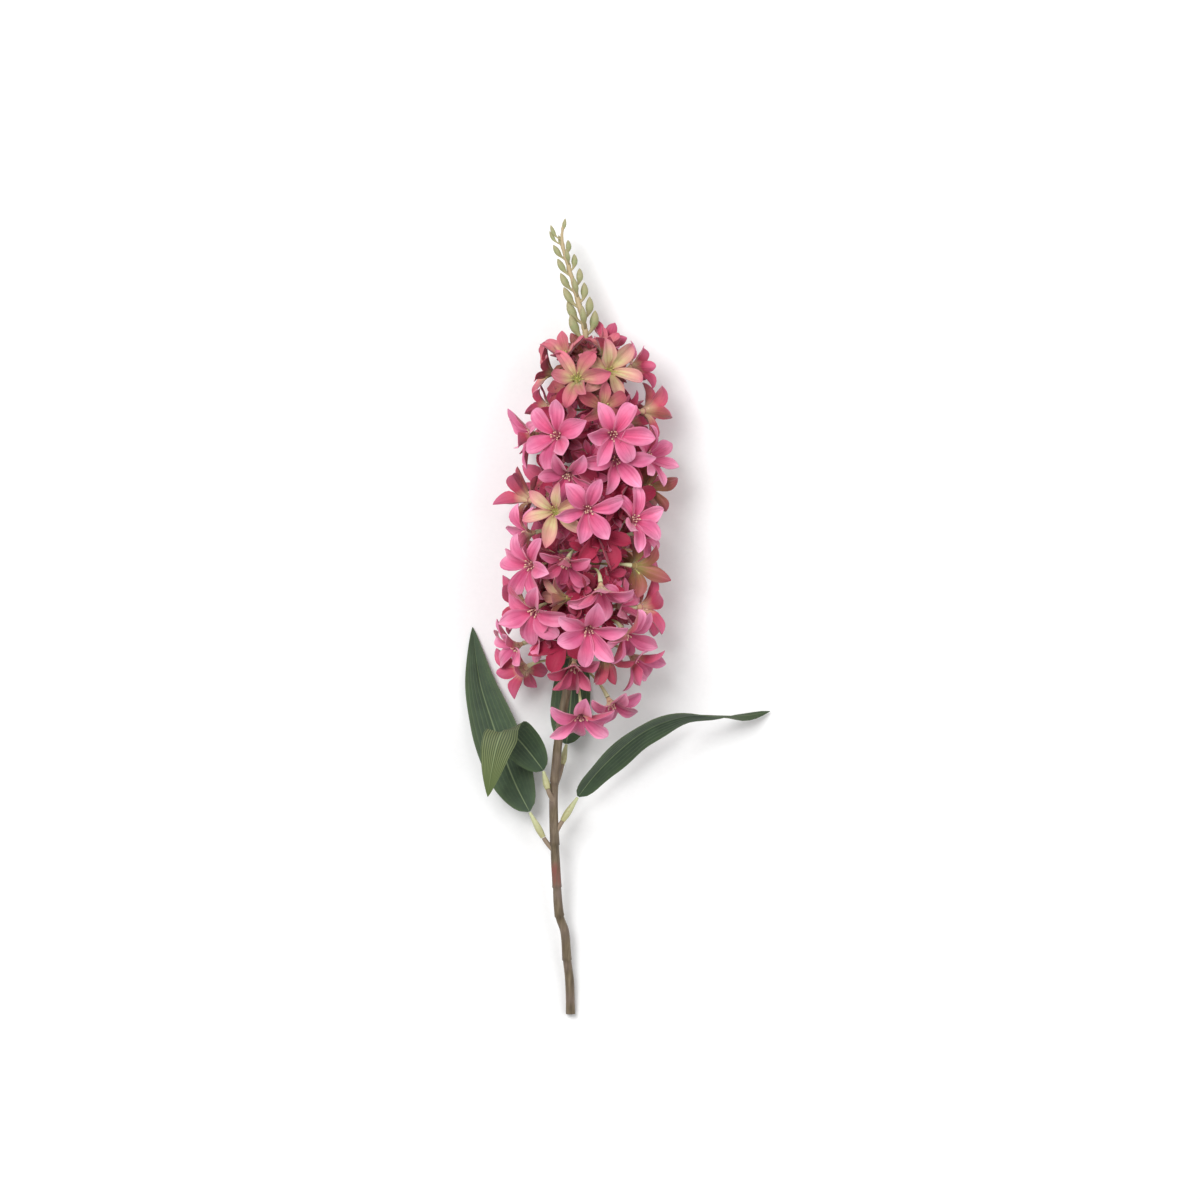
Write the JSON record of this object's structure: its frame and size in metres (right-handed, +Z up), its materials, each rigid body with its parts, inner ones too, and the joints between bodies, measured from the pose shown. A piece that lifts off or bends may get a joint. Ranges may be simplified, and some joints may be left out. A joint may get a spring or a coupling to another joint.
{
  "type": "stock flower spike",
  "caption": "Cut artificial flower spike lying down: a dense head of six-petalled pink florets under a tapering tip of closed buds, on a slim stem with strap leaves.",
  "frame": {"origin": "middle of the space that the spike takes up on the table, on the table's plane", "axes": "+Y along the spike towards its bud tip, +X to its right as seen from above, +Z up from the table"},
  "size_m": [0.2083, 0.5427, 0.1049],
  "materials": {
    "axis_green": "satin",
    "bud_green": "satin",
    "collar_green": "satin",
    "leaf_green": "satin",
    "petal_coral": "matte",
    "petal_cream": "matte",
    "petal_pink": "matte",
    "stem_green": "satin"
  },
  "bodies": {
    "root": {"bud_tip": "bud_green", "collar_left_folded": "collar_green", "collar_left_long": "collar_green", "collar_right": "collar_green", "collar_under_stem": "collar_green", "floret_01_pink": "petal_pink", "floret_02_pink": "petal_pink", "floret_03_pink": "petal_pink", "floret_04_pink": "petal_pink", "floret_05_cream": "petal_cream", "floret_06_pink": "petal_pink", "floret_07_pink": "petal_pink", "floret_08_pink": "petal_pink", "floret_09_pink": "petal_pink", "floret_10_pink": "petal_pink", "floret_11_pink": "petal_pink", "floret_12_pink": "petal_pink", "floret_13_cream": "petal_cream", "floret_14_coral": "petal_coral", "floret_15_pink": "petal_pink", "floret_16_pink": "petal_pink", "floret_17_cream": "petal_cream", "floret_18_coral": "petal_coral", "floret_19_coral": "petal_coral", "floret_20_pink": "petal_pink", "floret_21_pink": "petal_pink", "floret_22_cream": "petal_cream", "floret_23_coral": "petal_coral", "floret_24_coral": "petal_coral", "floret_25_pink": "petal_pink", "floret_26_pink": "petal_pink", "floret_27_pink": "petal_pink", "floret_28_pink": "petal_pink", "floret_29_pink": "petal_pink", "floret_30_pink": "petal_pink", "floret_31_pink": "petal_pink", "floret_32_pink": "petal_pink", "floret_33_pink": "petal_pink", "floret_34_pink": "petal_pink", "floret_35_cream": "petal_cream", "floret_36_coral": "petal_coral", "floret_37_pink": "petal_pink", "floret_38_pink": "petal_pink", "floret_39_pink": "petal_pink", "floret_40_pink": "petal_pink", "floret_44_pink": "petal_pink", "florets_41_pink": "petal_pink", "florets_42_pink": "petal_pink", "florets_43_pink": "petal_pink", "florets_45_pink": "petal_pink", "flower_axis": "axis_green", "leaf_left_folded": "leaf_green", "leaf_left_long": "leaf_green", "leaf_right": "leaf_green", "leaf_under_stem": "leaf_green", "main_stem": "stem_green"}
  },
  "joints": []
}
